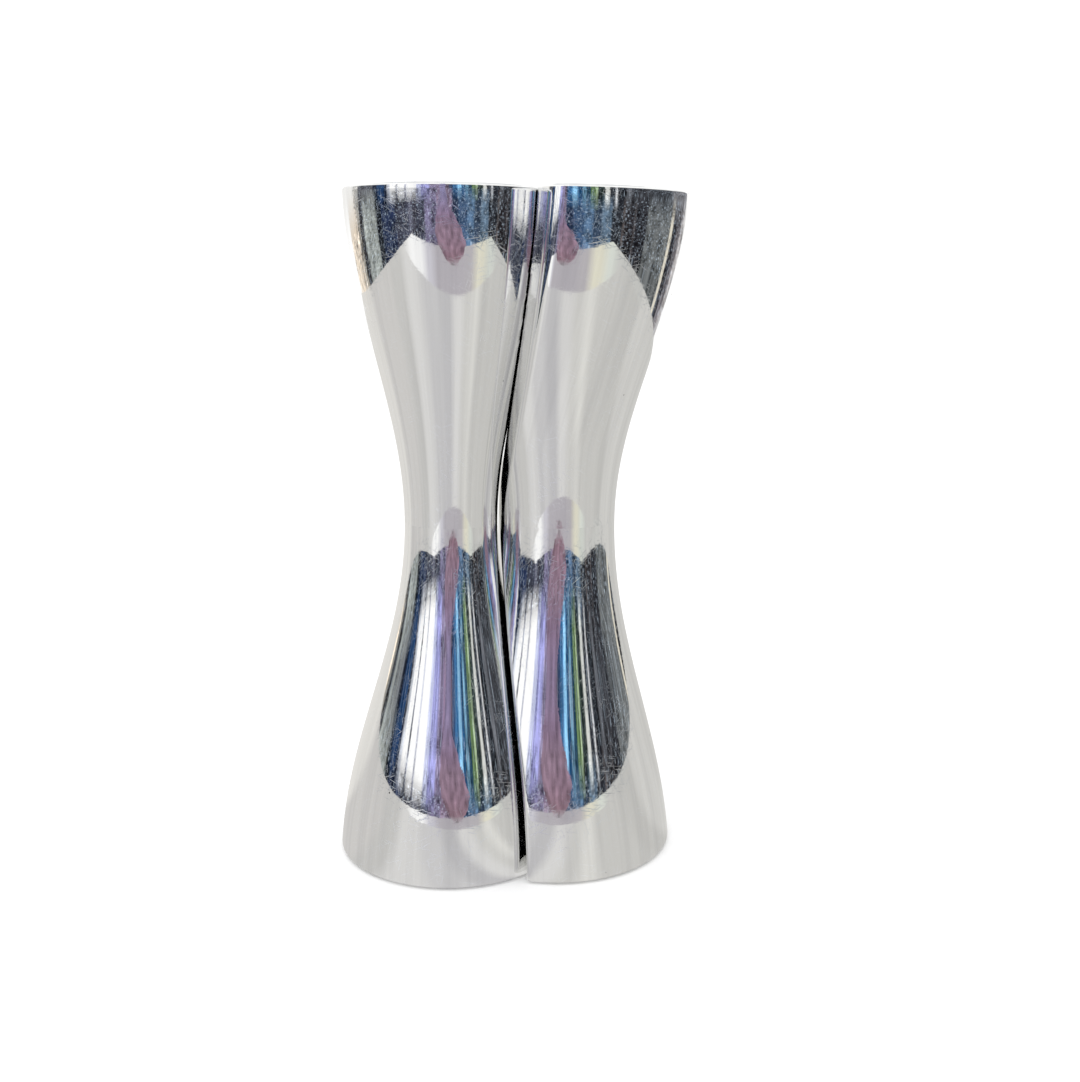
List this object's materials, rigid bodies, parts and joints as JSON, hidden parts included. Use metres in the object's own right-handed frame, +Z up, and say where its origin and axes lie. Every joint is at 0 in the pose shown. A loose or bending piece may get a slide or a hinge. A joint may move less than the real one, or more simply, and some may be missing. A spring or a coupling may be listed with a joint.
{
  "type": "bar jigger",
  "caption": "nesting pair of double-ended measuring jiggers, a round hourglass beside a scooped one that wraps it, each with a cup at both ends",
  "frame": {"origin": "on the floor, under the middle of the pair, at the height of the lower rims", "axes": "+Z is up, along both jiggers' own axes. X runs through both axes, from the round jigger (-X) to the scooped one (+X). Y runs across the pair, which is the same on both sides of Y = 0."},
  "size_m": [0.0644, 0.0446, 0.12],
  "materials": {
    "polished_aluminium": "mirror polished, with fine handling scratches",
    "turned_steel": "turned, pressed in and out of sight"
  },
  "bodies": {
    "round_jigger": {"round_upper_cup": "polished_aluminium", "round_lower_cup": "polished_aluminium", "round_joining_pin": "turned_steel"},
    "scooped_jigger": {"scooped_upper_cup": "polished_aluminium", "scooped_lower_cup": "polished_aluminium", "scooped_joining_pin": "turned_steel"}
  },
  "joints": [
    {"name": "nest_slide", "type": "slide", "parent": "round_jigger", "child": "scooped_jigger", "axis": [1, 0, 0], "range_m": [0, 0.06]}
  ]
}
